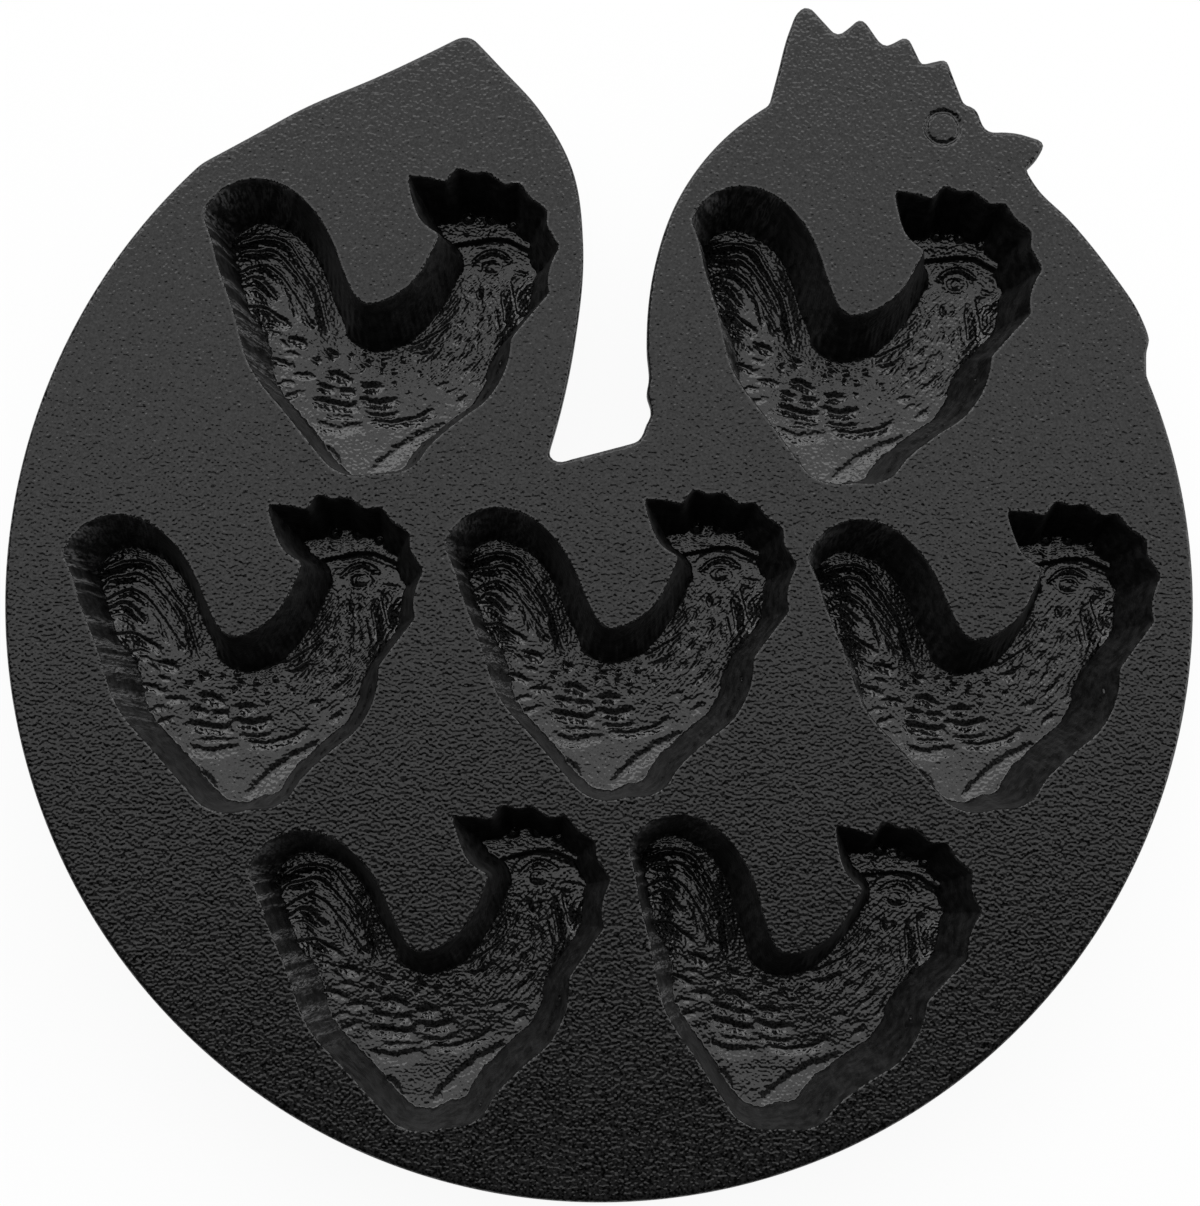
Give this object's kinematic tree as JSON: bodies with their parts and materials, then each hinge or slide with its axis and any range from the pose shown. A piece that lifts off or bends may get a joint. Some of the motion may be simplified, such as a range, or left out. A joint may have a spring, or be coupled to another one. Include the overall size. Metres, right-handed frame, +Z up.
{
  "type": "baking pan",
  "caption": "Cast-iron baking pan in the outline of a rooster, with rooster-shaped cake moulds sunk into its flat deck.",
  "frame": {"origin": "under the middle of the pan's outline, on the plane of the flats under the moulds", "axes": "+Z up out of the moulds, +X towards the beak, +Y towards the comb and tail"},
  "size_m": [0.3274, 0.3336, 0.0316],
  "materials": {
    "cast_iron": "seasoned near black, dull, fine sand-cast grain"
  },
  "bodies": {
    "root": {"deck": "cast_iron", "mould_cup_top_left": "cast_iron", "mould_cup_top_right": "cast_iron", "mould_cup_middle_left": "cast_iron", "mould_cup_centre": "cast_iron", "mould_cup_middle_right": "cast_iron", "mould_cup_bottom_left": "cast_iron", "mould_cup_bottom_right": "cast_iron"}
  },
  "joints": []
}
